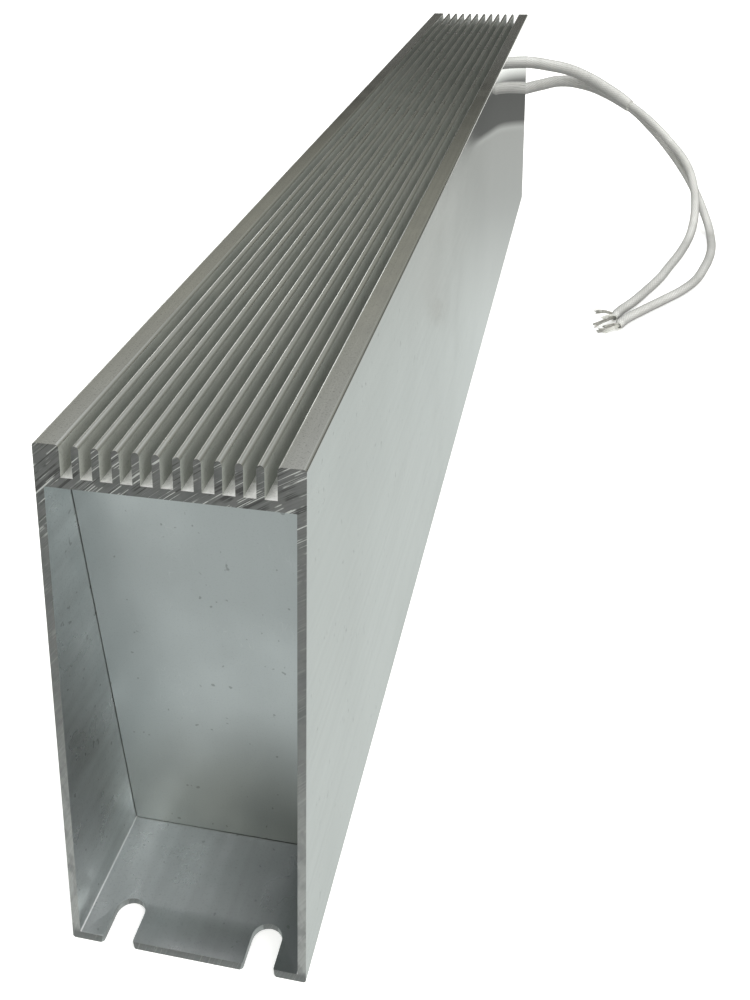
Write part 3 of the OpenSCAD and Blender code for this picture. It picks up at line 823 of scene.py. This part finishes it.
sheared_edge = 0.00012
plate_face = worked_aluminium(
    "plate_face", (0.60, 0.63, 0.64), (0.65, 0.68, 0.69), (260, 260, 30), cloud=30.0, speckle=0.15,
    rough=(0.34, 0.44), line_share=0.06, specks=0.45, speck_from=0.745, scratch=0.3,
    scratch_stretch=(500, 500, 260), start=12.0,
)
for end in ("front", "rear"):
    mesh = eased_copy(
        "end_plate_" + end, "plate_" + end, sheared_edge, lambda face: 0, [plate_face], worn_edges,
    )
    plate = add_piece("plate_" + end, mesh, plate_face)
    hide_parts("end_plate_" + end)


# The bushings: moulded in off-white silicone rubber, pressed through the rear
# plate, with a rounded collar outside it and a ribbed nose round each lead.

nose_r, bushing_bore_r, collar_thickness = 0.004, 0.0024, 0.0015

silicone, tree, surface = new_finish("bushing_silicone")
dust = mottle(tree, 900, 4.0)
rubber_colour = tint(tree, spread(tree, dust, 0.4, 0.7), (0.78, 0.77, 0.73), (0.60, 0.59, 0.55))
tree.links.new(rubber_colour, surface.inputs["Base Color"])
tree.links.new(spread(tree, dust, 0.4, 0.7, 0.45, 0.65), surface.inputs["Roughness"])
surface.inputs["Subsurface Weight"].default_value = 0.1
surface.inputs["Subsurface Radius"].default_value = (0.002, 0.0018, 0.0015)
raised(tree, surface, dust, 0.00003)

for name in ("upper", "lower"):
    low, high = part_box("bushing_" + name)
    axis_z, collar_r = (low.z + high.z) / 2, (high.x - low.x) / 2
    face_y, collar_y = rear_face_y, rear_face_y + collar_thickness
    # Radius and place along the axis, from the inner end over the collar and the ribs
    profile = [
        (bushing_bore_r, low.y), (nose_r, low.y), (nose_r, face_y), (collar_r - 0.0003, face_y),
        (collar_r, face_y + 0.0003), (collar_r, collar_y - 0.0006), (collar_r - 0.0006, collar_y),
        (nose_r + 0.0002, collar_y), (nose_r - 0.0002, collar_y + 0.0006),
        (nose_r - 0.0002, collar_y + 0.0012), (nose_r, collar_y + 0.0015),
        (nose_r - 0.0004, collar_y + 0.0021), (nose_r - 0.0004, collar_y + 0.0025),
        (nose_r - 0.0002, collar_y + 0.0028), (nose_r - 0.0007, high.y - 0.0004),
        (nose_r - 0.0011, high.y), (bushing_bore_r + 0.0003, high.y), (bushing_bore_r, high.y - 0.0003),
    ]
    turned = bmesh.new()
    points = [turned.verts.new((r, y, axis_z)) for r, y in profile]
    edges = [turned.edges.new(pair) for pair in zip(points, points[1:] + points[:1])]
    bmesh.ops.spin(
        turned, geom=points + edges, cent=(0, 0, axis_z), axis=(0, 1, 0), dvec=(0, 0, 0),
        angle=2 * math.pi, steps=64, use_merge=True, use_duplicate=False,
    )
    bmesh.ops.remove_doubles(turned, verts=turned.verts, dist=1e-7)
    bmesh.ops.recalc_face_normals(turned, faces=turned.faces)
    mesh = bpy.data.meshes.new("bushing_" + name)
    turned.to_mesh(mesh)
    mesh.shade_smooth()
    mesh.set_sharp_from_angle(angle=math.radians(40))
    bushing = add_piece("grommet_" + name, mesh, silicone)
    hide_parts("bushing_" + name)


# The sealing compound: a white cement poured behind each end plate, which
# sets round the lugs and holds the plates. It is slightly porous.

def granular(name, light, dark, grains, clouds, rough, depth, metallic=0.0):
    """A mineral or metal with clouds and raised grains."""
    finish, tree, surface = new_finish(name)
    grain, cloud = mottle(tree, grains, 4.0), mottle(tree, clouds, 3.0, 2.0)
    colour = tint(tree, spread(tree, cloud, 0.35, 0.65), light, dark)
    colour = tint(tree, spread(tree, grain, 0.5, 0.72, 0.0, 0.6), colour, darker(dark, 0.6))
    tree.links.new(colour, surface.inputs["Base Color"])
    tree.links.new(spread(tree, cloud, 0.3, 0.7, *rough), surface.inputs["Roughness"])
    surface.inputs["Metallic"].default_value = metallic
    raised(tree, surface, grain, depth)
    return finish


def dress(finish, *names):
    for name in names:
        for material_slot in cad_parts[name].material_slots:
            material_slot.material = finish


cement = granular(
    "sealing_cement", (0.80, 0.79, 0.75), (0.68, 0.67, 0.62), 1500, 160, (0.8, 0.95), 0.0001,
)
dress(cement, "potting_front", "potting_rear")


# The insulation: mica sheets line the cavity and mica plates carry the cores.
# Quartz sand, poured in and shaken down, fills the room between them.

mica = granular("mica", (0.62, 0.55, 0.40), (0.46, 0.40, 0.29), 420, 60, (0.3, 0.5), 0.00004)
dress(
    mica, "mica_base", "mica_top", "mica_left", "mica_right", "core_support_front", "core_support_rear",
)
sand = granular("quartz_sand", (0.78, 0.73, 0.62), (0.60, 0.53, 0.42), 2600, 220, (0.6, 0.9), 0.0004)
dress(sand, "sand_fill")


# The heating elements: fired ceramic tubes wound with resistance wire under a
# thin binding coat, with a steel band clamped on at each end of a tube.

ceramic = granular(
    "fired_ceramic", (0.86, 0.84, 0.78), (0.76, 0.74, 0.67), 1900, 110, (0.45, 0.65), 0.00003,
)
dress(ceramic, "core_upper", "core_lower")
resistance_wire = granular(
    "resistance_wire", (0.36, 0.33, 0.30), (0.22, 0.19, 0.17), 1400, 300, (0.4, 0.6), 0.00003, 0.8,
)
dress(resistance_wire, "winding_upper", "winding_lower")


# The terminals: steel bands and strips, spot-welded, and tinned copper sleeves
# that are crimped on the lugs and on the leads' conductors.

terminal_steel = granular(
    "terminal_steel", (0.58, 0.57, 0.55), (0.44, 0.43, 0.41), 1200, 240, (0.3, 0.5), 0.00002, 1.0,
)
dress(
    terminal_steel, "band_upper_front", "band_upper_rear", "band_lower_front", "band_lower_rear",
    "series_link", "lug_upper", "lug_lower",
)
tinned_copper = granular(
    "tinned_copper", (0.78, 0.78, 0.76), (0.64, 0.63, 0.60), 1600, 500, (0.25, 0.45), 0.00002, 1.0,
)
dress(tinned_copper, "crimp_upper", "crimp_lower")


# The box of the finished part, the floor left out

low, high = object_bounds()
